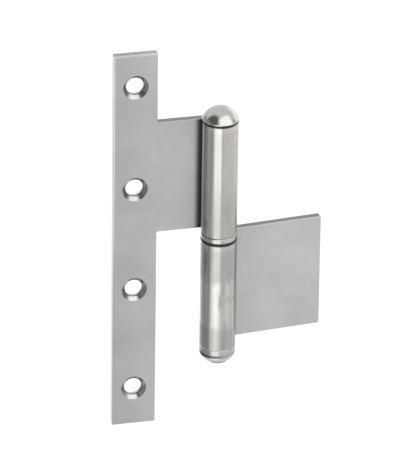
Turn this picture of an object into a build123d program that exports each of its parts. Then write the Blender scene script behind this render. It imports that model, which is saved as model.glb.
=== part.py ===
# Lift-off door hinge: a long screw leaf on the upper knuckle, a plain leaf on the lower one.
# Units are millimetres and degrees. +Z is up and the Z axis is the line that the door turns on.
# The origin is on that line, at the top end of the lower knuckle, where the black washer rests.
# At rest the door leaf reaches towards -X, and both leaves show their front faces towards -Y.
from build123d import *
import math
import os

# Sheet, knuckles and edges, the same on both leaves
SHEET = 3.0
KNUCKLE_RADIUS = 7.0
SEAM_GAP = 0.15
EDGE_BREAK = 0.2
OUTER_CORNER = 0.5

# Door leaf: a long plate, with a tab that leads to the upper knuckle, a step longer at each end
PLATE_LENGTH = 160.0
PLATE_WIDTH = 17.2
PLATE_REACH = 41.0
PLATE_BOTTOM_Z = -80.0
TAB_HEIGHT = 47.0
TAB_STEP = 0.45
TAB_CORNER = 0.8

# Screw holes in one line down the plate, evenly spaced between the first and the last
HOLE_COUNT = 4
FIRST_HOLE_DROP = 13.8
LAST_HOLE_RISE = 15.7
HOLE_RADIUS = 3.5
SINK_RADIUS = 5.0
SINK_ANGLE = 90.0

# Frame leaf: it stands a little above its knuckle, which is cut back for the washer
LEAF_HEIGHT = 47.0
LEAF_REACH = 43.5
LEAF_RISE = 1.2
LEAF_TURN = 5.6
NOTCH_CLEARANCE = 0.6

# Shallow taper turned on the knuckle ends that show
TAPER_LENGTH = 2.0
TAPER_DEPTH = 0.2

# Black washer between the knuckles
WASHER_THICKNESS = 1.0
WASHER_PROUD = 0.1
WASHER_PLAY = 0.15
WASHER_EDGE = 0.15

# Bush of the door knuckle, with the collar that shows under the knuckle
BUSH_COLLAR_HEIGHT = 2.05
BUSH_LENGTH = 34.0
COLLAR_EDGE = 0.2

# Pin: a head under the lower knuckle, a knurled shank in it, and a journal for the bush
PIN_RADIUS = 3.0
PIN_STAND = 38.0
PIN_TIP = 1.0
PIN_HEAD_HEIGHT = 2.5
PIN_SHOULDER_DROP = 0.3
KNURL_COUNT = 12
KNURL_LENGTH = 16.0
KNURL_DEPTH = 0.25

# Black plugs and the polished caps that they hold
PLUG_FLANGE = 1.0
PLUG_EDGE = 0.15
PLUG_LEAD = 0.5
TOP_PLUG_RADIUS = 7.15
TOP_STEM_LENGTH = 6.0
BOTTOM_PLUG_RADIUS = 6.95
BOTTOM_STEM_RADIUS = 2.5
BOTTOM_STEM_LENGTH = 4.0
CAP_RIM = 0.3
CAP_PEG_RADIUS = 1.2
CAP_PEG_LENGTH = 3.5
TOP_CAP_RADIUS = 7.2
TOP_CAP_RISE = 4.6
BOTTOM_CAP_RADIUS = 6.8
BOTTOM_CAP_DROP = 4.3

# Clearances
RUNNING_FIT = 0.05
PRESSED_FIT = 0.01
END_GAP = 0.5
TOUCH = 0.01

# Sizes that follow
BORE_RADIUS = KNUCKLE_RADIUS - SHEET
PRESSED_RADIUS = BORE_RADIUS - PRESSED_FIT
PLATE_INNER_X = PLATE_WIDTH - PLATE_REACH
PLATE_TOP_Z = PLATE_BOTTOM_Z + PLATE_LENGTH
HOLE_X = PLATE_WIDTH / 2 - PLATE_REACH
HOLE_PITCH = (PLATE_LENGTH - FIRST_HOLE_DROP - LAST_HOLE_RISE) / (HOLE_COUNT - 1)
SINK_DEPTH = (SINK_RADIUS - HOLE_RADIUS) / math.tan(math.radians(SINK_ANGLE / 2))
NOTCH_X = KNUCKLE_RADIUS + NOTCH_CLEARANCE

# Heights that follow, from the washer's seat at zero
DOOR_KNUCKLE_Z = WASHER_THICKNESS + BUSH_COLLAR_HEIGHT
TAB_BOTTOM_Z = DOOR_KNUCKLE_Z + TAB_STEP
TAB_TOP_Z = TAB_BOTTOM_Z + TAB_HEIGHT
DOOR_KNUCKLE_TOP_Z = TAB_TOP_Z + TAB_STEP
FRAME_KNUCKLE_Z = LEAF_RISE - LEAF_HEIGHT
PIN_HEAD_Z = FRAME_KNUCKLE_Z - PIN_HEAD_HEIGHT


def turned(outline):
    """A solid turned about the Z axis from (radius, height) points."""
    return revolve(Plane.XZ * make_face(Polyline(*outline, close=True)), Axis.Z)


def knuckle_edge(z_end, inward, tapered):
    """The outer outline of a knuckle's end, from its flat end to its full radius."""
    if not tapered:
        return [(KNUCKLE_RADIUS - EDGE_BREAK, z_end), (KNUCKLE_RADIUS, z_end + inward * EDGE_BREAK)]
    end_radius = KNUCKLE_RADIUS - TAPER_DEPTH
    return [
        (end_radius - EDGE_BREAK, z_end),
        (end_radius, z_end + inward * EDGE_BREAK),
        (KNUCKLE_RADIUS, z_end + inward * TAPER_LENGTH),
    ]


def rolled_end(side, z_low, z_high, tapered_low, tapered_high):
    """Sheet that leaves the flat on `side` (-1 or 1) behind the turning line and rolls round to it."""
    knuckle = turned([
        (BORE_RADIUS, z_low + EDGE_BREAK),
        (BORE_RADIUS + EDGE_BREAK, z_low),
        *knuckle_edge(z_low, 1, tapered_low),
        *reversed(knuckle_edge(z_high, -1, tapered_high)),
        (BORE_RADIUS + EDGE_BREAK, z_high),
        (BORE_RADIUS, z_high - EDGE_BREAK),
    ])
    beside_flat = Box(
        KNUCKLE_RADIUS, KNUCKLE_RADIUS, z_high - z_low, align=(Align.CENTER, Align.MIN, Align.MIN)
    )
    return knuckle - Pos(side * KNUCKLE_RADIUS / 2, BORE_RADIUS - SEAM_GAP, z_low) * beside_flat


def flat_sheet(x_low, x_high, z_low, z_high):
    """A flat stretch of sheet, its back level with the back of the knuckle."""
    block = Box(x_high - x_low, SHEET, z_high - z_low, align=Align.MIN)
    return Pos(x_low, BORE_RADIUS, z_low) * block


def with_corners(leaf, corners, radius):
    """Rounds a leaf's corners, given as (x, z) places."""
    picked = [
        edge for edge in leaf.edges().filter_by(Axis.Y)
        if any(abs(edge.center().X - x) < TOUCH and abs(edge.center().Z - z) < TOUCH for x, z in corners)
    ]
    return fillet(picked, radius)


def with_broken_edges(leaf):
    """Breaks the edges round both faces of a flat leaf, apart from the end that is rolled."""
    rims = [
        edge for edge in leaf.edges()
        if min(abs(edge.center().Y - BORE_RADIUS), abs(edge.center().Y - KNUCKLE_RADIUS)) < TOUCH
        and abs(edge.center().X) > TOUCH
    ]
    return chamfer(rims, EDGE_BREAK)


def screw_hole(z):
    """A countersunk hole, open to the front."""
    from_front = (Align.CENTER, Align.CENTER, Align.MIN)
    bore = Cylinder(HOLE_RADIUS, SHEET, align=from_front)
    sink = Cone(SINK_RADIUS, HOLE_RADIUS, SINK_DEPTH, align=from_front)
    return Pos(HOLE_X, BORE_RADIUS, z) * Rot(-90, 0, 0) * (bore + sink)


def door_leaf():
    """The door's leaf: plate, tab and upper knuckle in one sheet."""
    leaf = flat_sheet(PLATE_INNER_X, 0, TAB_BOTTOM_Z, TAB_TOP_Z)
    leaf += flat_sheet(-PLATE_REACH, PLATE_INNER_X, PLATE_BOTTOM_Z, PLATE_TOP_Z)
    plate_ends = [(x, z) for x in (-PLATE_REACH, PLATE_INNER_X) for z in (PLATE_BOTTOM_Z, PLATE_TOP_Z)]
    tab_roots = [(PLATE_INNER_X, z) for z in (TAB_BOTTOM_Z, TAB_TOP_Z)]
    leaf = with_corners(leaf, plate_ends, OUTER_CORNER)
    leaf = with_corners(leaf, tab_roots, TAB_CORNER)
    leaf = with_broken_edges(leaf)
    leaf += rolled_end(-1, DOOR_KNUCKLE_Z, DOOR_KNUCKLE_TOP_Z, False, True)
    for i in range(HOLE_COUNT):
        leaf -= screw_hole(PLATE_TOP_Z - FIRST_HOLE_DROP - HOLE_PITCH * i)
    return leaf


def frame_leaf():
    """The frame's leaf: a plain rectangle and the lower knuckle in one sheet, at its rest angle."""
    leaf = flat_sheet(0, LEAF_REACH, FRAME_KNUCKLE_Z, 0)
    leaf += flat_sheet(NOTCH_X, LEAF_REACH, 0, LEAF_RISE)
    free_corners = [(LEAF_REACH, FRAME_KNUCKLE_Z), (LEAF_REACH, LEAF_RISE)]
    notch_corners = [(NOTCH_X, 0), (NOTCH_X, LEAF_RISE)]
    leaf = with_corners(leaf, free_corners + notch_corners, OUTER_CORNER)
    leaf = with_broken_edges(leaf)
    leaf += rolled_end(1, FRAME_KNUCKLE_Z, 0, False, True)
    return Rot(0, 0, LEAF_TURN) * leaf


def knurl(z_low):
    """The V grooves of a straight knurl on the pin's shank, to be cut away."""
    groove = Pos(BORE_RADIUS, 0, z_low) * Rot(0, 0, 45) * Box(
        KNURL_DEPTH * math.sqrt(2), KNURL_DEPTH * math.sqrt(2), KNURL_LENGTH,
        align=(Align.CENTER, Align.CENTER, Align.MIN),
    )
    return [Rot(0, 0, 360 * i / KNURL_COUNT) * groove for i in range(KNURL_COUNT)]


def hinge_pin():
    """The pin: its head closes the lower knuckle, its shank is pressed in, its journal carries the door."""
    shoulder = -PIN_SHOULDER_DROP
    top = WASHER_THICKNESS + PIN_STAND
    socket = BOTTOM_STEM_RADIUS + PRESSED_FIT
    socket_top = PIN_HEAD_Z + BOTTOM_STEM_LENGTH + END_GAP
    pin = turned([
        (0, socket_top),
        (socket, socket_top),
        (socket, PIN_HEAD_Z),
        (KNUCKLE_RADIUS - COLLAR_EDGE, PIN_HEAD_Z),
        (KNUCKLE_RADIUS, PIN_HEAD_Z + COLLAR_EDGE),
        (KNUCKLE_RADIUS, FRAME_KNUCKLE_Z - COLLAR_EDGE),
        (KNUCKLE_RADIUS - COLLAR_EDGE, FRAME_KNUCKLE_Z),
        (PRESSED_RADIUS, FRAME_KNUCKLE_Z),
        (PRESSED_RADIUS, shoulder - PLUG_LEAD),
        (PRESSED_RADIUS - PLUG_LEAD, shoulder),
        (PIN_RADIUS, shoulder),
        (PIN_RADIUS, top - PIN_TIP),
        (PIN_RADIUS - PIN_TIP, top),
        (0, top),
    ])
    return pin - knurl((FRAME_KNUCKLE_Z - KNURL_LENGTH) / 2)


def door_bush():
    """The bush pressed into the upper knuckle, with its collar below the rolled sheet."""
    bore = PIN_RADIUS + RUNNING_FIT
    top = DOOR_KNUCKLE_Z + BUSH_LENGTH
    return turned([
        (bore, WASHER_THICKNESS),
        (KNUCKLE_RADIUS - COLLAR_EDGE, WASHER_THICKNESS),
        (KNUCKLE_RADIUS, WASHER_THICKNESS + COLLAR_EDGE),
        (KNUCKLE_RADIUS, DOOR_KNUCKLE_Z - COLLAR_EDGE),
        (KNUCKLE_RADIUS - COLLAR_EDGE, DOOR_KNUCKLE_Z),
        (PRESSED_RADIUS, DOOR_KNUCKLE_Z),
        (PRESSED_RADIUS, top - PLUG_LEAD),
        (PRESSED_RADIUS - PLUG_LEAD, top),
        (bore, top),
    ])


def thrust_washer():
    """The loose black washer that the door's weight rests on."""
    inner = PIN_RADIUS + WASHER_PLAY
    outer = KNUCKLE_RADIUS + WASHER_PROUD
    return turned([
        (inner, 0),
        (outer - WASHER_EDGE, 0),
        (outer, WASHER_EDGE),
        (outer, WASHER_THICKNESS - WASHER_EDGE),
        (outer - WASHER_EDGE, WASHER_THICKNESS),
        (inner, WASHER_THICKNESS),
    ])


def plug(flange_radius, stem_radius, stem_length):
    """A plug with its flange above zero and its stem below, bored for a cap's peg."""
    hole = CAP_PEG_RADIUS + PRESSED_FIT
    hole_end = PLUG_FLANGE - CAP_PEG_LENGTH - END_GAP
    return turned([
        (0, hole_end),
        (hole, hole_end),
        (hole, PLUG_FLANGE),
        (flange_radius - PLUG_EDGE, PLUG_FLANGE),
        (flange_radius, PLUG_FLANGE - PLUG_EDGE),
        (flange_radius, PLUG_EDGE),
        (flange_radius - PLUG_EDGE, 0),
        (stem_radius, 0),
        (stem_radius, PLUG_LEAD - stem_length),
        (stem_radius - PLUG_LEAD, -stem_length),
        (0, -stem_length),
    ])


def cap(radius, rise):
    """A cap that sits at zero: a short rim, a spherical dome, and a peg below."""
    top = CAP_RIM + rise
    ball_radius = (radius ** 2 + rise ** 2) / (2 * rise)
    # The ball lies on its side, which keeps its poles off the dome
    ball = Pos(0, 0, top - ball_radius) * Rot(90, 0, 0) * Sphere(ball_radius)
    head = Cylinder(radius, top, align=(Align.CENTER, Align.CENTER, Align.MIN)) & ball
    peg = Cylinder(CAP_PEG_RADIUS, CAP_PEG_LENGTH, align=(Align.CENTER, Align.CENTER, Align.MAX))
    return head + peg


def at_top(piece, raised):
    """Seats a plug or cap on the upper knuckle's end."""
    return Pos(0, 0, DOOR_KNUCKLE_TOP_Z + raised) * piece


def at_bottom(piece, lowered):
    """Seats a plug or cap, upside down, under the pin's head."""
    return Pos(0, 0, PIN_HEAD_Z - lowered) * Rot(180, 0, 0) * piece


def pieces():
    """Every piece of the hinge under its own name."""
    return {
        "door_leaf": door_leaf(),
        "frame_leaf": frame_leaf(),
        "hinge_pin": hinge_pin(),
        "door_bush": door_bush(),
        "thrust_washer": thrust_washer(),
        "top_plug": at_top(plug(TOP_PLUG_RADIUS, PRESSED_RADIUS, TOP_STEM_LENGTH), 0),
        "top_cap": at_top(cap(TOP_CAP_RADIUS, TOP_CAP_RISE), PLUG_FLANGE),
        "bottom_plug": at_bottom(plug(BOTTOM_PLUG_RADIUS, BOTTOM_STEM_RADIUS, BOTTOM_STEM_LENGTH), 0),
        "bottom_cap": at_bottom(cap(BOTTOM_CAP_RADIUS, BOTTOM_CAP_DROP), PLUG_FLANGE),
    }


os.makedirs("parts", exist_ok=True)
for name, piece in pieces().items():
    export_step(piece, f"parts/{name}.step")
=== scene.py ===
"""Finishes a packed lift-off hinge: steel and plastic surfaces, a white studio and the camera.

Lengths are metres and angles are radians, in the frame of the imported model: +Z runs up the
line that the door turns on, and the sheet's front faces look towards -Y.
"""

import math
from collections import namedtuple

import bpy
from bpy.props import FloatProperty, FloatVectorProperty, PointerProperty
from mathutils import Matrix, Vector


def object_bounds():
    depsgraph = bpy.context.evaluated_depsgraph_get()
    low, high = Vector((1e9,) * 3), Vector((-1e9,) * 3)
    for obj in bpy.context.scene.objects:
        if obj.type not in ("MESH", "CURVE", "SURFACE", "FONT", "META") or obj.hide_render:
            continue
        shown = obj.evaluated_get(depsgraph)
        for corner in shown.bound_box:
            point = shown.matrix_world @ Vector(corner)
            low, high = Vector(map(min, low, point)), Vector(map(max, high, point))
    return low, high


bl_info = {
    "name": "Lift-off Hinge Finisher",
    "version": (1, 0, 0),
    "blender": (4, 5, 0),
    "location": "3D View > Sidebar > Hinge",
    "description": "Gives a packed lift-off hinge its steel, its black plastic and a white studio",
    "category": "Object",
}

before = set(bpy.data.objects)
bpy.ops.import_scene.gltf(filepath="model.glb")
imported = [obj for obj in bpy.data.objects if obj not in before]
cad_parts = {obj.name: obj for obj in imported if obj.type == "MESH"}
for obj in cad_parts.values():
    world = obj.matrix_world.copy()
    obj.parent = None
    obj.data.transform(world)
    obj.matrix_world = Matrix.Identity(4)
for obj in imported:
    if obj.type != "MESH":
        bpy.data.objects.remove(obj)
CAD_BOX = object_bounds()

# Facts of the hinge that its surfaces follow
KNUCKLE_RADIUS = 0.007
HOLE_LINE_X = -0.0324
FIRST_HOLE_Z = 0.0662
HOLE_PITCH = 0.0435
SINK_RADIUS = 0.005
# Depth of the sharp inner rim of each screw sink
SINK_RIM_Y = 0.0056
# Height of the pressed seam between the lower knuckle and the pin's head, painted over with light
PIN_SEAM_Z = -0.0458

# What differs between the steel of the two leaves:
# turn: how far the leaf is turned about the hinge's axis at rest
# dull_side: where its sheet is painted darker as shade, as a ramp over X
# rolling_marks: rolling marks and painted reflections, as degrees round the
# knuckle, half width in degrees, change of brightness
# spots: worn or stained places and painted reflections, as degrees round the knuckle, height,
# their half sizes, change
# polish_height, polish: where the knuckle is best polished and has the most
# painted sheen, and the ramp away from there, over which it gets rougher and painted darker
# knuckle_ends: heights of its ends, which each get a painted shade line; the first, under the
# washer or plug, also gets a band of painted highlight
# has_holes: whether it has screw holes
LeafSteel = namedtuple(
    "LeafSteel", "turn dull_side rolling_marks spots polish_height polish knuckle_ends has_holes"
)

DOOR_LEAF = LeafSteel(
    turn=0.0,
    dull_side=(-0.046, -0.016, 0.87, 1.0),
    rolling_marks=((-73, 11, -0.34), (-51, 9, 0.20), (-6, 6, -0.14), (18, 30, -0.12)),
    spots=(
        (44, 0.0459, 9, 0.0016, 0.14),
        (40, 0.0420, 5, 0.0010, -0.16),
        (-62, 0.0085, 14, 0.0045, -0.30),
        (0, 0.0300, 14, 0.0050, 0.06),
        (12, 0.0160, 22, 0.0080, -0.06),
    ),
    polish_height=0.0450,
    polish=(0.005, 0.037, 1.0, 0.89),
    knuckle_ends=(0.05095, 0.00305),
    has_holes=True,
)

FRAME_LEAF = LeafSteel(
    turn=math.radians(5.6),
    dull_side=(0.006, 0.024, 0.91, 1.0),
    rolling_marks=((-46, 6, -0.20), (-37, 6, 0.22), (18, 34, -0.22), (62, 18, -0.34)),
    spots=(
        (-8, -0.0240, 8, 0.0050, -0.26),
        (4, -0.0190, 7, 0.0030, -0.16),
        (24, -0.0205, 14, 0.0028, 0.14),
        (-60, -0.0070, 14, 0.0062, -0.30),
        (44, -0.0235, 6, 0.0012, -0.30),
        (20, -0.0290, 24, 0.0060, 0.08),
    ),
    polish_height=-0.0262,
    polish=(0.0080, 0.0115, 1.10, 0.90),
    knuckle_ends=(0.0,),
    has_holes=False,
)

# Smooth ramps that the surfaces follow, each as where it starts, where it ends, and the values
# there. These run over the distance from the axis: knuckle into sheet, skin of the roll, painted
# shade in the groove beside it.
KNUCKLE_TO_SHEET = (KNUCKLE_RADIUS + 0.0001, KNUCKLE_RADIUS + 0.0006, 1.0, 0.0)
OFF_ROLL = (KNUCKLE_RADIUS + 0.00001, KNUCKLE_RADIUS + 0.00006, 0.0, 1.0)
OUT_OF_GROOVE = (KNUCKLE_RADIUS + 0.0010, KNUCKLE_RADIUS + 0.0034, 0.11, 1.0)
# Over how squarely a surface faces the leaf's front or back
CUT_FLAT = (0.15, 0.5, 1.0, 0.0)
CUT_CORNER = (0.90, 0.99, 1.0, 0.0)
SINK_SLOPE = (0.8, 0.95, 1.0, 0.0)
# Over the same with its sign, which is -1 on the front
FRONT_FACE = (-0.98, -0.90, 1.0, 0.0)
# Over how far a surface faces up or down, and over how far it faces to the right
LONG_SIDE = (0.1, 0.2, 1.0, 0.0)
CUT_END = (0.4, 0.8, 0.0, 1.0)
RIGHT_EDGE = (-0.3, 0.3, 0.0, 1.0)
# Brightness of the cut ends over their distance from the hinge's middle height
CUT_END_LEVEL = (0.055, 0.075, 0.84, 1.38)
# The screw leaf has a painted highlight along its top corner, and along the upper half of its left
# one: brightness over Z, gain over X, and share of that gain over Z
TOP_CORNER_PAINTED_HIGHLIGHT = (0.0789, 0.0796, 1.0, 1.28)
LEFT_CORNER_PAINTED_HIGHLIGHT = (-0.0407, -0.0403, 0.9, 0.0)
LEFT_CORNER_HIGHLIGHT_HEIGHT = (-0.03, 0.04, 0.0, 1.0)
# Over the distance from a knuckle's end: a band of painted highlight, and a painted shade line in
# the joint
END_PAINTED_HIGHLIGHT = (0.0016, 0.0030, 1.12, 1.0)
END_PAINTED_SHADE = (0.0002, 0.0006, 0.55, 1.0)
# Gain of the painted light on the seam over the distance from it, and share of that gain over X
SEAM_PAINTED_LIGHT = (0.00025, 0.0004, 0.75, 0.0)
SEAM_SIDE = (-0.0031, -0.0017, 1.0, 0.0)
# A screw sink has a painted highlight at its bottom, painted shade round the rest, and a painted
# shade line at its inner rim
SINK_PAINTED_LIGHT = (-0.82, -0.62, 1.25, 0.74)
SINK_RIM_PAINTED_SHADE = (0.0002, 0.0004, 0.35, 1.0)
# Over the patches' noise: the faintly warm places, and how strongly the rolling marks and painted
# reflections show
WARM_PLACES = (0.52, 0.66, 0.0, 1.0)
UNEVEN_MARKS = (0.30, 0.60, 0.6, 1.0)
# Over the noise of turned steel and of plastic, and over X on the lower plug's painted light
RUBBED_PLACES = (0.5, 0.7, 0.0, 1.0)
DUSTY_PLACES = (0.5, 0.75, 0.0, 1.0)
PLUG_PAINTED_LIGHT_SIDE = (-0.008, 0.004, 0.0, 1.0)

# Share of the half width of each rolling mark, painted reflection and spot that is at full strength
MARK_CORE = 0.3
SPOT_CORE = 0.35
# Away from its best polished height a knuckle is rougher too: gain of roughness for each share of
# painted brightness that it loses there
DULL_ROUGHNESS = 0.8
# No steel is smoother than this
LEAST_ROUGHNESS = 0.05
# Depth of relief against the grain's own: drag marks on cut edges, streaks on the knuckles, and
# the skin of the plastic
DRAG_RELIEF = 6.0
STREAK_RELIEF = 1.2
PLASTIC_RELIEF = 2.0
# How much each finish darkens or brightens where its own pattern is strongest
GRAIN_SHADE = 0.96
DRAG_SHADE = 0.9
SINK_RING_SHADE = 0.85
RUBBED_SHADE = 0.93
DUSTY_SHADE = 2.2
# How far the sinks' finish reaches past their edge, and the least distance from a hole's line
SMALL_GAP = 0.0001

# The studio. Soft lamps: name, direction from the hinge, distance, width, height, radiance
LAMPS = (
    ("lamp_low_front", (-0.44, -0.90, -0.20), 0.50, 0.39, 0.45, 1.05),
    ("lamp_high_right", (0.333, -0.714, 0.650), 0.85, 1.15, 1.05, 0.86),
    ("lamp_low_right", (0.85, -0.53, -0.18), 0.60, 1.30, 0.45, 0.19),
    ("lamp_right_back", (0.80, 0.56, 0.22), 0.60, 0.60, 0.40, 0.50),
)
# Direction of the one dark area of the studio that the steel mirrors, and how it darkens towards
# there
DARK_SIDE = (-0.73, -0.30, 0.62)
INTO_DARK_SIDE = (0.74, 0.93, 0.0, 1.0)
# Grey levels of the world in the dark area and to matt surfaces, and of the lit floor's own skin
DARK_SIDE_GREY = 0.15
WORLD_GREY = 0.8
FLOOR_SKIN_GREY = 0.12
# The point that the camera looks at: how far to the right of the axis in the picture, and height
AIM_ASIDE = -0.0056951
AIM_HEIGHT = 0.000238
# Width of the camera's sensor in millimetres, and the distances between which it sees
SENSOR_WIDTH = 36.0
NEAREST_SEEN = 0.05
FARTHEST_SEEN = 200.0


def grey(level):
    """A plain grey of that level."""
    return (level, level, level)


def scaled(colour, share):
    """A plain colour times a number."""
    return [channel * share for channel in colour]


WHITE = grey(1.0)


# Helpers for node trees

def set_input(tree, socket, value):
    """Links a socket to another one, or gives it a plain value."""
    if isinstance(value, bpy.types.NodeSocket):
        tree.links.new(value, socket)
    else:
        socket.default_value = value


def add_node(tree, kind, inputs=None, **settings):
    """Adds a node, sets its own settings, and fills its inputs with sockets or plain values."""
    node = tree.nodes.new(kind)
    for name, value in settings.items():
        setattr(node, name, value)
    for key, value in (inputs or {}).items():
        set_input(tree, node.inputs[key], value)
    return node


def calculate(tree, operation, *numbers):
    """A Math node on sockets or plain numbers."""
    node = add_node(tree, "ShaderNodeMath", dict(enumerate(numbers)), operation=operation)
    return node.outputs[0]


def distance_from(tree, value, level):
    """How far a number lies from a fixed one, on either side."""
    return calculate(tree, "ABSOLUTE", calculate(tree, "SUBTRACT", value, level))


def varied(tree, pattern, middle, spread):
    """A number that a pattern moves round its middle value, over the spread."""
    return calculate(tree, "MULTIPLY_ADD", pattern, spread, middle - spread / 2)


def ramp(tree, value, start, end, at_start, at_end):
    """Turns a value smoothly into another one, which is held before the start and after the end."""
    node = add_node(
        tree, "ShaderNodeMapRange",
        {"Value": value, "From Min": start, "From Max": end, "To Min": at_start, "To Max": at_end},
        interpolation_type="SMOOTHSTEP",
    )
    return node.outputs["Result"]


def stretched(tree, vector, scale):
    """Coordinates scaled by a different number along each axis."""
    node = add_node(tree, "ShaderNodeMapping", {"Vector": vector, "Scale": scale})
    return node.outputs["Vector"]


def noise(tree, vector, scale, detail=3.0, roughness=0.5):
    """A noise texture's plain value, around one half."""
    node = add_node(
        tree, "ShaderNodeTexNoise",
        {"Vector": vector, "Scale": scale, "Detail": detail, "Roughness": roughness},
    )
    return node.outputs["Fac"]


def blend_colours(tree, factor, first, second):
    """Mixes two colours, each a socket or an RGB triple."""
    node = add_node(tree, "ShaderNodeMix", {"Factor": factor}, data_type="RGBA")
    for key, colour in (("A", first), ("B", second)):
        socket = next(s for s in node.inputs if s.name == key and s.type == "RGBA")
        is_plain = not isinstance(colour, bpy.types.NodeSocket)
        set_input(tree, socket, (*colour, 1.0) if is_plain else colour)
    return next(s for s in node.outputs if s.type == "RGBA")


def blend_values(tree, factor, first, second):
    """Mixes two numbers, each a socket or a plain number."""
    inputs = {"Factor": factor, 2: first, 3: second}
    return add_node(tree, "ShaderNodeMix", inputs, data_type="FLOAT").outputs[0]


def brightened(tree, colour, amount):
    """A colour multiplied by a value's socket."""
    node = add_node(tree, "ShaderNodeVectorMath", {0: colour, "Scale": amount}, operation="SCALE")
    return node.outputs["Vector"]


def share_along(tree, vector, direction):
    """How far a vector points in a fixed direction."""
    node = add_node(
        tree, "ShaderNodeVectorMath", {0: vector, 1: direction}, operation="DOT_PRODUCT"
    )
    return node.outputs["Value"]


def split(tree, vector):
    """The X, Y and Z of a vector."""
    return tuple(add_node(tree, "ShaderNodeSeparateXYZ", {"Vector": vector}).outputs)


def length_of(tree, x, y):
    """The length of a flat vector, from the sockets of its two parts."""
    flat = add_node(tree, "ShaderNodeCombineXYZ", {"X": x, "Y": y}).outputs[0]
    return add_node(tree, "ShaderNodeVectorMath", {0: flat}, operation="LENGTH").outputs["Value"]


def blank_material(name):
    """A node material with nothing in it but its output."""
    material = bpy.data.materials.new(name)
    material.use_nodes = True
    tree = material.node_tree
    tree.nodes.clear()
    output = tree.nodes.new("ShaderNodeOutputMaterial")
    return material, tree, output


def link_surface(tree, output, relief, relief_depth, **shader_inputs):
    """The surface's own shader, with a bump from its relief. Names hold _ for a space."""
    bump = add_node(tree, "ShaderNodeBump", {"Distance": relief_depth, "Height": relief})
    inputs = {name.replace("_", " "): value for name, value in shader_inputs.items()}
    inputs["Normal"] = bump.outputs["Normal"]
    shader = add_node(tree, "ShaderNodeBsdfPrincipled", inputs)
    tree.links.new(shader.outputs["BSDF"], output.inputs["Surface"])


# Materials

# What a leaf's material knows of a point: its place, how far that is from the hinge's axis, how
# squarely the surface faces the leaf's back (facing), its back or front (flatness), up or down
# (upward) and the right (rightward)
Place = namedtuple("Place", "spot x y z from_axis facing flatness upward rightward")


def leaf_place(tree, turn):
    """The sockets of a Place, for a leaf that is turned about the axis."""
    coordinates = add_node(tree, "ShaderNodeTexCoord").outputs
    spot, normal = coordinates["Object"], coordinates["Normal"]
    x, y, z = split(tree, spot)
    rightward, _, rising = split(tree, normal)
    facing = share_along(tree, normal, (-math.sin(turn), math.cos(turn), 0.0))
    return Place(
        spot, x, y, z, from_axis=length_of(tree, x, y), facing=facing,
        flatness=calculate(tree, "ABSOLUTE", facing), upward=calculate(tree, "ABSOLUTE", rising),
        rightward=rightward,
    )


def cut_edge_mask(tree, place, on_knuckle):
    """Where the sheet is cut: its ends only on their flat, its long sides with round corners too."""
    rounded_side = calculate(
        tree, "MULTIPLY", ramp(tree, place.flatness, *CUT_CORNER), ramp(tree, place.upward, *LONG_SIDE)
    )
    return calculate(
        tree, "MULTIPLY",
        calculate(tree, "MAXIMUM", ramp(tree, place.flatness, *CUT_FLAT), rounded_side),
        calculate(tree, "SUBTRACT", 1.0, on_knuckle),
    )


def sheet_level(tree, place, mottling, dull_side):
    """Brightness of a leaf's sheet: wide clouds, small mottling and painted shade on one side."""
    clouds = noise(tree, place.spot, scale=55.0, detail=2.0)
    level = calculate(
        tree, "ADD", varied(tree, clouds, middle=1.0, spread=0.30),
        varied(tree, mottling, middle=0.0, spread=0.12),
    )
    return calculate(tree, "MULTIPLY", level, ramp(tree, place.x, *dull_side))


def matt_sheet(tree, place, settings, plain_colour, level, mottling, grain):
    """Colour and roughness of the flat sheet, with a fine grain and painted highlights along its
    corners.
    """
    left_corner_highlight = calculate(
        tree, "MULTIPLY_ADD", ramp(tree, place.x, *LEFT_CORNER_PAINTED_HIGHLIGHT),
        ramp(tree, place.z, *LEFT_CORNER_HIGHLIGHT_HEIGHT), 1.0,
    )
    wear_and_highlights = calculate(tree, "MULTIPLY", ramp(tree, place.z, *TOP_CORNER_PAINTED_HIGHLIGHT), left_corner_highlight)
    colour = brightened(
        tree, blend_colours(tree, grain, plain_colour, scaled(plain_colour, GRAIN_SHADE)),
        calculate(tree, "MULTIPLY", level, wear_and_highlights),
    )
    rough = calculate(
        tree, "ADD", varied(tree, mottling, middle=settings.sheet_roughness, spread=0.14),
        varied(tree, grain, middle=0.0, spread=0.1),
    )
    return colour, rough


def cut_edges(tree, place, settings, level, drag):
    """Colour and roughness of the cut edges, with drag marks across the thickness and a painted
    highlight on the long edges that face left.
    """
    end_colour = brightened(
        tree,
        blend_colours(tree, drag, settings.cut_end_colour, scaled(settings.cut_end_colour, DRAG_SHADE)),
        ramp(tree, calculate(tree, "ABSOLUTE", place.z), *CUT_END_LEVEL),
    )
    side_colour = blend_colours(
        tree, ramp(tree, place.rightward, *RIGHT_EDGE), settings.left_edge_highlight_colour,
        settings.right_edge_colour,
    )
    colour = brightened(
        tree, blend_colours(tree, ramp(tree, place.upward, *CUT_END), side_colour, end_colour),
        calculate(tree, "MULTIPLY", level, varied(tree, drag, middle=1.0, spread=0.2)),
    )
    return colour, varied(tree, drag, middle=settings.edge_roughness, spread=0.2)


def lengthwise_marks_and_reflections(tree, turn, patches, marks):
    """Brightness round a knuckle from its rolling marks and painted reflections; a turn of 0 faces -Y
    and grows to +X.
    """
    total = None
    for middle, half_width, change in marks:
        away = distance_from(tree, turn, math.radians(middle))
        core, rim = math.radians(half_width * MARK_CORE), math.radians(half_width)
        mark = ramp(tree, away, core, rim, change, 0.0)
        total = mark if total is None else calculate(tree, "ADD", total, mark)
    return calculate(tree, "MULTIPLY_ADD", total, ramp(tree, patches, *UNEVEN_MARKS), 1.0)


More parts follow.
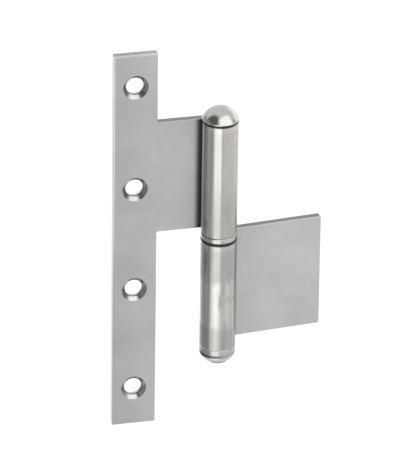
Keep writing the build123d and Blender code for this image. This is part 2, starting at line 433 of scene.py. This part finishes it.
def worn_spots_and_reflections(tree, turn, height, patches, spots):
    """Brightness on a knuckle from its worn or stained spots and painted reflections, whose outlines
    the patches fray.
    """
    total = 1.0
    for middle, level, half_turn, half_height, change in spots:
        turn_away = calculate(tree, "SUBTRACT", turn, math.radians(middle))
        height_away = calculate(tree, "SUBTRACT", height, level)
        away = length_of(
            tree, calculate(tree, "MULTIPLY", turn_away, 1.0 / math.radians(half_turn)),
            calculate(tree, "MULTIPLY", height_away, 1.0 / half_height),
        )
        frayed = calculate(tree, "ADD", away, varied(tree, patches, middle=0.0, spread=1.6))
        total = calculate(tree, "ADD", ramp(tree, frayed, SPOT_CORE, 1.0, change, 0.0), total)
    return total


def seam_painted_light(tree, across, height):
    """Brightness round the pin's pressed seam, painted lighter on its left side over its dark line."""
    off_seam = distance_from(tree, height, PIN_SEAM_Z)
    return calculate(
        tree, "MULTIPLY_ADD", ramp(tree, off_seam, *SEAM_PAINTED_LIGHT), ramp(tree, across, *SEAM_SIDE), 1.0
    )


def knuckle_shine(tree, place, leaf, patches, from_polish_and_sheen):
    """Brightness of a knuckle: its best polished height with painted sheen, its rolling marks and
    spots with painted reflections, painted highlight and shade at its ends, and painted light on
    the seam.
    """
    turn = calculate(tree, "ARCTAN2", place.x, calculate(tree, "MULTIPLY", place.y, -1.0))
    shares = [
        lengthwise_marks_and_reflections(tree, turn, patches, leaf.rolling_marks),
        worn_spots_and_reflections(tree, turn, place.z, patches, leaf.spots),
    ]
    for index, end_height in enumerate(leaf.knuckle_ends):
        from_end = distance_from(tree, place.z, end_height)
        if index == 0:
            shares.append(ramp(tree, from_end, *END_PAINTED_HIGHLIGHT))
        shares.append(ramp(tree, from_end, *END_PAINTED_SHADE))
    shares.append(seam_painted_light(tree, place.x, place.z))
    shine = ramp(tree, from_polish_and_sheen, *leaf.polish)
    for share in shares:
        shine = calculate(tree, "MULTIPLY", shine, share)
    return shine


def rolled_knuckle(tree, place, settings, leaf, streaks, fine_streaks):
    """Colour and roughness of a knuckle, polished along its length, with faintly warm patches."""
    patches = noise(
        tree, stretched(tree, place.spot, (1.0, 1.0, 0.55)), scale=260.0, detail=4.0, roughness=0.6
    )
    from_polish_and_sheen = calculate(
        tree, "ADD", distance_from(tree, place.z, leaf.polish_height),
        varied(tree, patches, middle=0.0, spread=0.004),
    )
    streaked = calculate(
        tree, "ADD", varied(tree, streaks, middle=1.0, spread=0.42),
        varied(tree, fine_streaks, middle=0.0, spread=0.14),
    )
    warm = ramp(tree, patches, *WARM_PLACES)
    shine = knuckle_shine(tree, place, leaf, patches, from_polish_and_sheen)
    colour = brightened(
        tree, blend_colours(tree, warm, settings.knuckle_colour, settings.warm_colour),
        calculate(tree, "MULTIPLY", shine, streaked),
    )
    rough = calculate(
        tree, "ADD", varied(tree, patches, middle=settings.knuckle_roughness, spread=0.2),
        varied(tree, fine_streaks, middle=0.0, spread=0.08),
    )
    near, far, _, dullest = leaf.polish
    unpolished = ramp(tree, from_polish_and_sheen, near, far, 0.0, (1.0 - dullest) * DULL_ROUGHNESS)
    return colour, calculate(tree, "ADD", rough, unpolished)


def groove_painted_shade(tree, place):
    """Painted shade in the groove where the sheet's front meets its own roll, as a brightness."""
    beside_roll = calculate(
        tree, "MULTIPLY", ramp(tree, place.facing, *FRONT_FACE), ramp(tree, place.from_axis, *OFF_ROLL)
    )
    return blend_values(tree, beside_roll, 1.0, ramp(tree, place.from_axis, *OUT_OF_GROOVE))


def screw_sinks(tree, place, settings, level):
    """Mask, colour and roughness of the sinks, turned with rings round each hole's own line, with
    painted light and shade.
    """
    along = calculate(
        tree, "WRAP", calculate(tree, "SUBTRACT", place.z, FIRST_HOLE_Z), HOLE_PITCH / 2, -HOLE_PITCH / 2
    )
    from_hole = length_of(tree, calculate(tree, "SUBTRACT", place.x, HOLE_LINE_X), along)
    in_sink = calculate(
        tree, "MULTIPLY", calculate(tree, "LESS_THAN", from_hole, SINK_RADIUS + SMALL_GAP),
        ramp(tree, place.flatness, *SINK_SLOPE),
    )
    rings = noise(tree, add_node(tree, "ShaderNodeCombineXYZ", {"X": from_hole}).outputs[0], scale=5000.0)
    upward_share = calculate(tree, "DIVIDE", along, calculate(tree, "MAXIMUM", from_hole, SMALL_GAP))
    # Painted highlight at the sink's bottom, painted shade round the rest and at its inner rim
    shine = calculate(
        tree, "MULTIPLY", ramp(tree, upward_share, *SINK_PAINTED_LIGHT),
        ramp(tree, distance_from(tree, place.y, SINK_RIM_Y), *SINK_RIM_PAINTED_SHADE),
    )
    colour = brightened(
        tree,
        blend_colours(tree, rings, settings.sink_colour, scaled(settings.sink_colour, SINK_RING_SHADE)),
        calculate(tree, "MULTIPLY", level, shine),
    )
    return in_sink, colour, varied(tree, rings, middle=0.22, spread=0.1)


def sheet_steel(name, settings, plain_colour, leaf):
    """Matt sheet that turns into a polished rolled knuckle, with darker cut edges and sinks, and painted
    light and shade.
    """
    material, tree, output = blank_material(name)
    place = leaf_place(tree, leaf.turn)
    on_knuckle = ramp(tree, place.from_axis, *KNUCKLE_TO_SHEET)
    cut_edge = cut_edge_mask(tree, place, on_knuckle)

    # Patterns: mottling, grain along the sheet, drag marks on its edges, streaks on the knuckle
    mottling = noise(tree, place.spot, scale=420.0, detail=4.0, roughness=0.6)
    grain = noise(tree, stretched(tree, place.spot, (1.0, 1.0, 0.12)), scale=5200.0, detail=2.0)
    drag = noise(tree, stretched(tree, place.spot, (1.0, 0.2, 1.0)), scale=1900.0)
    streaks = noise(tree, stretched(tree, place.spot, (1.0, 1.0, 0.035)), scale=620.0, roughness=0.55)
    fine_streaks = noise(tree, stretched(tree, place.spot, (1.0, 1.0, 0.05)), scale=2600.0, detail=2.0)

    level = sheet_level(tree, place, mottling, leaf.dull_side)
    sheet_colour, sheet_rough = matt_sheet(tree, place, settings, plain_colour, level, mottling, grain)
    edge_colour, edge_rough = cut_edges(tree, place, settings, level, drag)
    knuckle_colour, knuckle_rough = rolled_knuckle(tree, place, settings, leaf, streaks, fine_streaks)
    colour = blend_colours(tree, cut_edge, sheet_colour, edge_colour)
    colour = blend_colours(tree, on_knuckle, colour, knuckle_colour)
    # Painted shade darkens the groove beside the roll
    colour = brightened(tree, colour, groove_painted_shade(tree, place))
    rough = blend_values(tree, cut_edge, sheet_rough, edge_rough)
    rough = blend_values(tree, on_knuckle, rough, knuckle_rough)
    if leaf.has_holes:
        in_sink, sink_colour, sink_rough = screw_sinks(tree, place, settings, level)
        colour = blend_colours(tree, in_sink, colour, sink_colour)
        rough = blend_values(tree, in_sink, rough, sink_rough)

    sheet_relief = calculate(tree, "ADD", grain, mottling)
    edge_relief = calculate(tree, "MULTIPLY", drag, DRAG_RELIEF)
    knuckle_relief = calculate(tree, "MULTIPLY_ADD", streaks, STREAK_RELIEF, fine_streaks)
    relief = blend_values(
        tree, on_knuckle, blend_values(tree, cut_edge, sheet_relief, edge_relief), knuckle_relief
    )
    link_surface(
        tree, output, relief, settings.relief_depth, Metallic=1.0, Base_Color=colour,
        Roughness=calculate(tree, "MAXIMUM", rough, LEAST_ROUGHNESS),
    )
    return material


def turned_steel(name, settings, plain_colour, roughness):
    """Bright steel with faint marks of turning round it, a few rubbed spots and painted light on the
    pin's seam.
    """
    material, tree, output = blank_material(name)
    spot = add_node(tree, "ShaderNodeTexCoord").outputs["Object"]
    across, _, height = split(tree, spot)
    rings = noise(
        tree, stretched(tree, spot, (0.05, 0.05, 1.0)), scale=5200.0, roughness=0.6
    )
    wear_and_highlights = noise(tree, spot, scale=480.0, detail=4.0, roughness=0.6)
    rubbed_colour = blend_colours(
        tree, ramp(tree, wear_and_highlights, *RUBBED_PLACES), plain_colour, scaled(plain_colour, RUBBED_SHADE)
    )
    level = calculate(
        tree, "MULTIPLY", varied(tree, rings, middle=1.0, spread=0.16),
        seam_painted_light(tree, across, height),
    )
    rough = calculate(
        tree, "ADD", varied(tree, wear_and_highlights, middle=roughness, spread=0.16),
        varied(tree, rings, middle=0.0, spread=0.06),
    )
    link_surface(
        tree, output, rings, settings.relief_depth, Metallic=1.0,
        Base_Color=brightened(tree, rubbed_colour, level),
        Roughness=calculate(tree, "MAXIMUM", rough, LEAST_ROUGHNESS),
    )
    return material


def black_plastic(name, settings, painted_light_side=False):
    """Moulded black plastic with a soft sheen, a fine skin and dusty wear, and on the lower plug painted
    light on one side.
    """
    material, tree, output = blank_material(name)
    spot = add_node(tree, "ShaderNodeTexCoord").outputs["Object"]
    skin = noise(tree, spot, scale=3600.0, roughness=0.6)
    dust = noise(tree, spot, scale=500.0, detail=4.0, roughness=0.6)
    colour = blend_colours(
        tree, ramp(tree, dust, *DUSTY_PLACES), settings.plastic_colour,
        scaled(settings.plastic_colour, DUSTY_SHADE),
    )
    if painted_light_side:
        across = calculate(
            tree, "ADD", split(tree, spot)[0], varied(tree, dust, middle=0.0, spread=0.004)
        )
        colour = blend_colours(tree, ramp(tree, across, *PLUG_PAINTED_LIGHT_SIDE), colour, settings.plug_painted_light_colour)
    link_surface(
        tree, output, skin, settings.relief_depth * PLASTIC_RELIEF, Specular_IOR_Level=0.3,
        Base_Color=colour,
        Roughness=varied(tree, dust, middle=settings.plastic_roughness, spread=0.3),
    )
    return material


def white_floor(name, settings):
    """White to the eye and in reflections, a plain pale surface to all other light."""
    material, tree, output = blank_material(name)
    path = add_node(tree, "ShaderNodeLightPath").outputs
    seen = calculate(
        tree, "MAXIMUM", calculate(tree, "MAXIMUM", path["Is Camera Ray"], path["Is Glossy Ray"]),
        path["Is Transmission Ray"],
    )
    matt = add_node(tree, "ShaderNodeBsdfDiffuse", {"Color": (*settings.floor_colour, 1.0)})
    skin = add_node(tree, "ShaderNodeBsdfDiffuse", {"Color": (*grey(FLOOR_SKIN_GREY), 1.0)})
    glow = add_node(
        tree, "ShaderNodeEmission", {"Color": (*WHITE, 1.0), "Strength": settings.floor_glow}
    )
    lit = add_node(tree, "ShaderNodeAddShader", {0: skin.outputs[0], 1: glow.outputs[0]})
    mixed = add_node(
        tree, "ShaderNodeMixShader", {"Fac": seen, 1: matt.outputs[0], 2: lit.outputs[0]}
    )
    tree.links.new(mixed.outputs[0], output.inputs["Surface"])
    return material


def give_material(node_names, material):
    """Puts a material into every slot of the named CAD nodes."""
    for node_name in node_names:
        if node_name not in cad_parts:
            raise RuntimeError(f"the packed model has no node named {node_name}")
        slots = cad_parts[node_name].material_slots
        if not slots:
            raise RuntimeError(f"node {node_name} has no material slot")
        for material_slot in slots:
            material_slot.material = material


# Settings

def colour_property(label, text, default):
    """A colour that the user can change."""
    return FloatVectorProperty(
        name=label, description=text, default=default, size=3, min=0.0, max=1.0, subtype="COLOR"
    )


def share_property(label, text, default):
    """A number from 0 to 1 that the user can change."""
    return FloatProperty(name=label, description=text, default=default, min=0.0, max=1.0, subtype="FACTOR")


class HingeFinishSettings(bpy.types.PropertyGroup):
    """Colours and surface finish of the hinge's steel and plastic."""

    door_sheet_colour: colour_property("Door Sheet", "Colour of the screw leaf's matt sheet", grey(0.40))
    frame_sheet_colour: colour_property("Frame Sheet", "Colour of the plain leaf's matt sheet", grey(0.445))
    sheet_roughness: share_property("Sheet Roughness", "How matt the flat sheet is", 0.42)
    # The long edges that face left get this light colour as a painted highlight
    left_edge_highlight_colour: colour_property(
        "Left Edge", "Colour of the long edges that are rubbed bright", grey(0.88)
    )
    right_edge_colour: colour_property("Right Edge", "Colour of the other long edges", grey(0.46))
    cut_end_colour: colour_property("Cut End", "Colour of the sheet's cut ends", grey(0.31))
    edge_roughness: share_property("Edge Roughness", "How matt the cut edges are", 0.33)
    sink_colour: colour_property(
        "Screw Sinks", "Colour of the turned sinks of the screw holes", grey(0.44)
    )
    knuckle_colour: colour_property(
        "Knuckle", "Colour of the polished rolled knuckles", (0.44, 0.4385, 0.431)
    )
    warm_colour: colour_property(
        "Warm Patches", "Colour of the faintly warm patches", (0.46, 0.443, 0.418)
    )
    knuckle_roughness: share_property("Knuckle Roughness", "How blurred the knuckles reflect", 0.24)
    pin_colour: colour_property("Pin", "Colour of the turned pin and bush", (0.41, 0.407, 0.395))
    cap_colour: colour_property("Caps", "Colour of the domed caps", (0.50, 0.498, 0.488))
    pin_roughness: share_property("Pin Roughness", "How blurred the pin and bush reflect", 0.22)
    cap_roughness: share_property("Cap Roughness", "How blurred the domed caps reflect", 0.19)
    plastic_colour: colour_property(
        "Plastic", "Colour of the black washer and plugs", (0.012, 0.012, 0.013)
    )
    # The lower plug's right side takes this lighter colour as painted light
    plug_painted_light_colour: colour_property(
        "Plug Dust", "Colour of the dust on the lower plug's right side", (0.34, 0.34, 0.33)
    )
    plastic_roughness: share_property("Plastic Roughness", "How matt the black plastic is", 0.4)
    relief_depth: FloatProperty(
        name="Relief", description="Depth of the fine grain and turning marks",
        default=0.000004, min=0.0, max=0.0001, precision=6, subtype="DISTANCE", unit="LENGTH",
    )


class HingeStageSettings(bpy.types.PropertyGroup):
    """The white floor, the soft lamps and the camera."""

    floor_drop: FloatProperty(
        name="Floor Drop", description="How far the floor lies under the hinge's lowest point",
        default=0.27, min=0.0, max=2.0, subtype="DISTANCE", unit="LENGTH",
    )
    floor_width: FloatProperty(
        name="Floor Width", description="Width of the square floor",
        default=60.0, min=1.0, max=200.0, subtype="DISTANCE", unit="LENGTH",
    )
    floor_colour: colour_property("Floor", "Colour that the floor throws back on the hinge", grey(0.8))
    floor_glow: FloatProperty(
        name="Floor White", description="Brightness of the floor to the eye, where 1 is white",
        default=0.97, min=0.0, max=2.0,
    )
    lamp_level: FloatProperty(
        name="Lamp Level", description="Brightness of all lamps together", default=1.0, min=0.0, max=10.0
    )
    lens: FloatProperty(
        name="Lens", description="Focal length in millimetres on a 36 mm wide sensor",
        default=448.0, min=20.0, max=1000.0,
    )
    camera_distance: FloatProperty(
        name="Camera Distance", description="Distance from the camera to the middle of the view",
        default=2.29124, min=0.1, max=20.0, subtype="DISTANCE", unit="LENGTH",
    )
    camera_azimuth: FloatProperty(
        name="Camera Azimuth", description="Turn of the camera round the hinge, 0 looks along +Y",
        default=math.radians(-13.547), subtype="ANGLE", unit="ROTATION",
    )
    camera_elevation: FloatProperty(
        name="Camera Elevation", description="Height of the camera above the horizon",
        default=math.radians(27.3602), subtype="ANGLE", unit="ROTATION",
    )
    camera_roll: FloatProperty(
        name="Camera Roll", description="Turn of the camera about its line of sight",
        default=math.radians(0.7921), subtype="ANGLE", unit="ROTATION",
    )


# Operators

class HingeOperator:
    """What every operator of the panel shares."""

    bl_options = {"REGISTER", "UNDO"}


class HINGE_OT_door_leaf(HingeOperator, bpy.types.Operator):
    """Gives the long screw leaf its matt sheet, cut edges and polished knuckle"""

    bl_idname = "hinge.door_leaf"
    bl_label = "Door Leaf"

    def execute(self, context):
        settings = context.scene.hinge_finish
        steel = sheet_steel("door_leaf_steel", settings, settings.door_sheet_colour, DOOR_LEAF)
        give_material(["door_leaf"], steel)
        return {"FINISHED"}


class HINGE_OT_frame_leaf(HingeOperator, bpy.types.Operator):
    """Gives the plain leaf its matt sheet, cut edges and polished knuckle"""

    bl_idname = "hinge.frame_leaf"
    bl_label = "Frame Leaf"

    def execute(self, context):
        settings = context.scene.hinge_finish
        steel = sheet_steel("frame_leaf_steel", settings, settings.frame_sheet_colour, FRAME_LEAF)
        give_material(["frame_leaf"], steel)
        return {"FINISHED"}


class HINGE_OT_pin_and_bush(HingeOperator, bpy.types.Operator):
    """Gives the pin and the door's bush their bright turned steel"""

    bl_idname = "hinge.pin_and_bush"
    bl_label = "Pin and Bush"

    def execute(self, context):
        settings = context.scene.hinge_finish
        steel = turned_steel("pin_steel", settings, settings.pin_colour, settings.pin_roughness)
        give_material(["hinge_pin", "door_bush"], steel)
        return {"FINISHED"}


class HINGE_OT_caps(HingeOperator, bpy.types.Operator):
    """Gives the two domed caps their polish"""

    bl_idname = "hinge.caps"
    bl_label = "Domed Caps"

    def execute(self, context):
        settings = context.scene.hinge_finish
        steel = turned_steel("cap_steel", settings, settings.cap_colour, settings.cap_roughness)
        give_material(["top_cap", "bottom_cap"], steel)
        return {"FINISHED"}


class HINGE_OT_washer_and_plugs(HingeOperator, bpy.types.Operator):
    """Gives the washer and the two plugs their black plastic, the lower plug with painted light on its
    right side
    """

    bl_idname = "hinge.washer_and_plugs"
    bl_label = "Washer and Plugs"

    def execute(self, context):
        settings = context.scene.hinge_finish
        give_material(["thrust_washer", "top_plug"], black_plastic("black_plastic", settings))
        give_material(["bottom_plug"], black_plastic("black_plastic_painted_light", settings, painted_light_side=True))
        return {"FINISHED"}


def studio_cards(low):
    """Name, glow and corners of each card of the studio, from the height of the floor."""
    above = low + 0.005
    return (
        ("grey_card", 0.52, (
            (-0.312, -0.145, low), (-0.335, 0.06, low), (-0.335, 0.06, 0.18),
            (-0.30, -0.25, 0.18), (-0.30, -0.25, -0.17), (-0.310, -0.165, -0.20),
        )),
        ("back_grey_card", 0.50, (
            (-0.335, 0.06, low), (-0.20, 0.27, low), (-0.20, 0.27, 0.18), (-0.335, 0.06, 0.18),
        )),
        ("edge_card", 0.40, (
            (0.330, -0.075, 0.03), (0.335, -0.015, 0.03), (0.335, -0.015, 0.22), (0.330, -0.075, 0.22),
        )),
        ("low_back_card", 0.25, (
            (-0.02, 0.11, above), (0.13, 0.11, above), (0.13, 0.25, above), (-0.02, 0.25, above),
        )),
    )


def add_stage_face(name, corners, material):
    """A flat stage object of one face, which isn't part of the hinge."""
    mesh = bpy.data.meshes.new(name)
    mesh.from_pydata(corners, [], [tuple(range(len(corners)))])
    mesh.materials.append(material)
    face = bpy.data.objects.new(name, mesh)
    bpy.context.scene.collection.objects.link(face)
    return face


class HINGE_OT_stage(HingeOperator, bpy.types.Operator):
    """Builds the white floor, the soft lamps, the pale surroundings and the camera"""

    bl_idname = "hinge.stage"
    bl_label = "Studio and Camera"

    def execute(self, context):
        settings = context.scene.hinge_stage
        context.scene.view_settings.view_transform = "Standard"
        floor_height = CAD_BOX[0].z - settings.floor_drop
        self.add_floor(settings, floor_height)
        self.set_world()
        for name, toward, distance, width, height, radiance in LAMPS:
            self.add_lamp(name, toward, distance, width, height, radiance * settings.lamp_level)
        for name, glow, corners in studio_cards(floor_height):
            self.add_card(name, glow, corners)
        self.add_camera(settings)
        return {"FINISHED"}

    def add_floor(self, settings, floor_height):
        """A wide square floor under the hinge."""
        half = settings.floor_width / 2
        corners = [(x * half, y * half, floor_height) for x, y in ((-1, -1), (1, -1), (1, 1), (-1, 1))]
        add_stage_face("floor", corners, white_floor("floor_white", settings))

    def add_lamp(self, name, toward, distance, width, height, radiance):
        """A rectangular lamp that looks at the hinge from the given direction."""
        toward = Vector(toward).normalized()
        data = bpy.data.lights.new(name, "AREA")
        data.shape = "RECTANGLE"
        data.size = width
        data.size_y = height
        data.energy = radiance * math.pi * width * height
        lamp = bpy.data.objects.new(name, data)
        lamp.location = toward * distance
        lamp.rotation_mode = "QUATERNION"
        lamp.rotation_quaternion = toward.to_track_quat("Z", "Y")
        lamp.visible_camera = False
        bpy.context.scene.collection.objects.link(lamp)

    def add_card(self, name, glow, corners):
        """A card that shows only in the gloss of the steel."""
        material, tree, output = blank_material(name)
        shine = add_node(tree, "ShaderNodeEmission", {"Color": (*grey(glow), 1.0), "Strength": 1.0})
        tree.links.new(shine.outputs[0], output.inputs["Surface"])
        card = add_stage_face(name, corners, material)
        card.visible_camera = False
        card.visible_diffuse = False
        card.visible_shadow = False

    def set_world(self):
        """White to the eye, pale to matt surfaces, and white with one dark area in the steel."""
        world = bpy.data.worlds.new("studio")
        world.use_nodes = True
        tree = world.node_tree
        tree.nodes.clear()
        direction = add_node(tree, "ShaderNodeTexCoord").outputs["Generated"]
        in_dark = ramp(tree, share_along(tree, direction, DARK_SIDE), *INTO_DARK_SIDE)
        mirrored = blend_colours(tree, in_dark, WHITE, grey(DARK_SIDE_GREY))
        path = add_node(tree, "ShaderNodeLightPath").outputs
        in_steel = calculate(tree, "MAXIMUM", path["Is Glossy Ray"], path["Is Transmission Ray"])
        colour = blend_colours(tree, in_steel, grey(WORLD_GREY), mirrored)
        colour = blend_colours(tree, path["Is Camera Ray"], colour, WHITE)
        background = add_node(tree, "ShaderNodeBackground", {"Strength": 1.0, "Color": colour})
        output = tree.nodes.new("ShaderNodeOutputWorld")
        tree.links.new(background.outputs[0], output.inputs["Surface"])
        bpy.context.scene.world = world

    def add_camera(self, settings):
        """The camera, turned, raised and rolled as the settings say."""
        azimuth, elevation, roll = settings.camera_azimuth, settings.camera_elevation, settings.camera_roll
        forward = Vector((
            -math.sin(azimuth) * math.cos(elevation),
            math.cos(azimuth) * math.cos(elevation),
            -math.sin(elevation),
        ))
        level_right = Vector((math.cos(azimuth), math.sin(azimuth), 0.0))
        level_up = level_right.cross(forward)
        right = level_right * math.cos(roll) + level_up * math.sin(roll)
        up = level_up * math.cos(roll) - level_right * math.sin(roll)
        target = Vector((AIM_ASIDE * right.x, AIM_ASIDE * right.y, AIM_HEIGHT))
        data = bpy.data.cameras.new("camera")
        data.lens = settings.lens
        data.sensor_width = SENSOR_WIDTH
        data.clip_start = NEAREST_SEEN
        data.clip_end = FARTHEST_SEEN
        camera = bpy.data.objects.new("camera", data)
        turn = Matrix((right, up, -forward)).transposed().to_4x4()
        camera.matrix_world = Matrix.Translation(target - forward * settings.camera_distance) @ turn
        bpy.context.scene.collection.objects.link(camera)
        bpy.context.scene.camera = camera


class HINGE_PT_finish(bpy.types.Panel):
    """Lists the hinge's operators and their settings"""

    bl_label = "Lift-off Hinge"
    bl_idname = "HINGE_PT_finish"
    bl_space_type = "VIEW_3D"
    bl_region_type = "UI"
    bl_category = "Hinge"

    def draw(self, context):
        layout = self.layout
        for operator in OPERATORS:
            layout.operator(operator.bl_idname)
        for settings in (context.scene.hinge_finish, context.scene.hinge_stage):
            box = layout.box()
            for name in settings.__annotations__:
                box.prop(settings, name)


OPERATORS = (
    HINGE_OT_door_leaf,
    HINGE_OT_frame_leaf,
    HINGE_OT_pin_and_bush,
    HINGE_OT_caps,
    HINGE_OT_washer_and_plugs,
    HINGE_OT_stage,
)
CLASSES = (HingeFinishSettings, HingeStageSettings, *OPERATORS, HINGE_PT_finish)


def register():
    for each in CLASSES:
        bpy.utils.register_class(each)
    bpy.types.Scene.hinge_finish = PointerProperty(type=HingeFinishSettings)
    bpy.types.Scene.hinge_stage = PointerProperty(type=HingeStageSettings)


def unregister():
    del bpy.types.Scene.hinge_stage
    del bpy.types.Scene.hinge_finish
    for each in reversed(CLASSES):
        bpy.utils.unregister_class(each)


def main():
    register()
    for operator in OPERATORS:
        group, name = operator.bl_idname.split(".")
        getattr(getattr(bpy.ops, group), name)()


if __name__ == "__main__":
    main()
